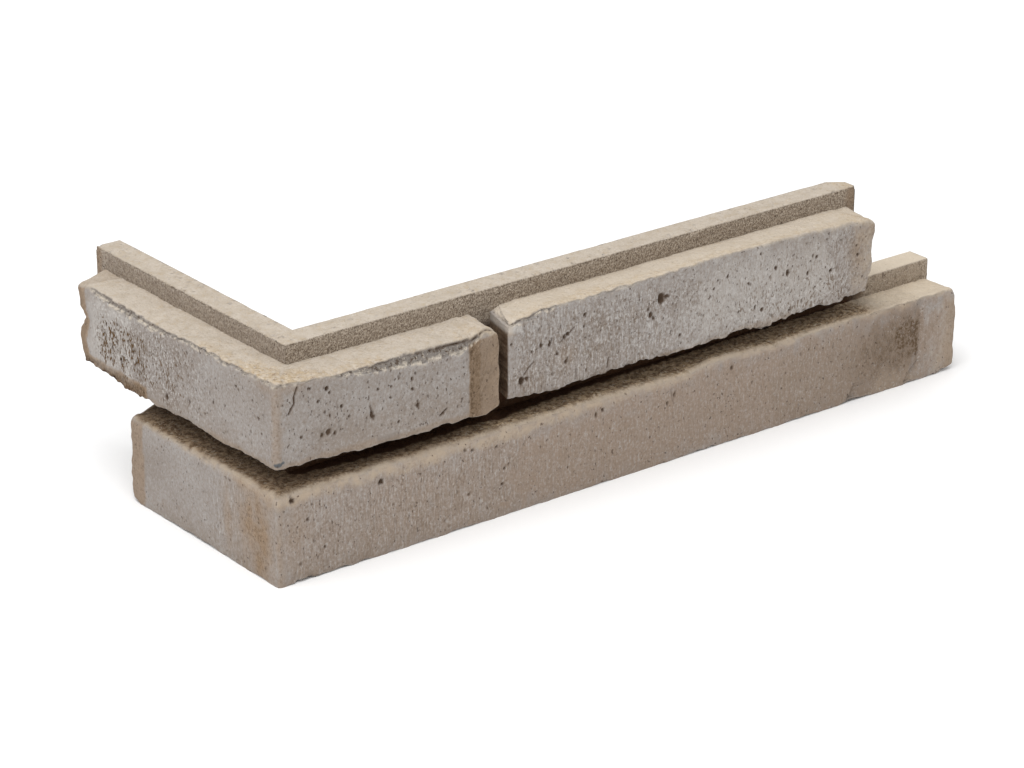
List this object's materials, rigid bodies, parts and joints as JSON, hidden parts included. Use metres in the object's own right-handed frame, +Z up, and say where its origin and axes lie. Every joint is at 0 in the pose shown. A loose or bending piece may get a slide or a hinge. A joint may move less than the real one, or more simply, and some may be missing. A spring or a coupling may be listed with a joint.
{
  "type": "concrete corner brick slip",
  "caption": "L-shaped cast concrete cladding corner: staggered courses of long low brick faces standing proud of a toothed joint plate.",
  "frame": {"origin": "centre of the casting's box, at its base", "axes": "+X along the long leg towards its free end, +Y along the short leg towards its free end, +Z up through the two courses"},
  "size_m": [0.468, 0.196, 0.1185],
  "materials": {
    "concrete": "matte cast concrete, grey-beige, pitted and stained"
  },
  "bodies": {
    "root": {"corner_slip": "concrete"}
  },
  "joints": []
}
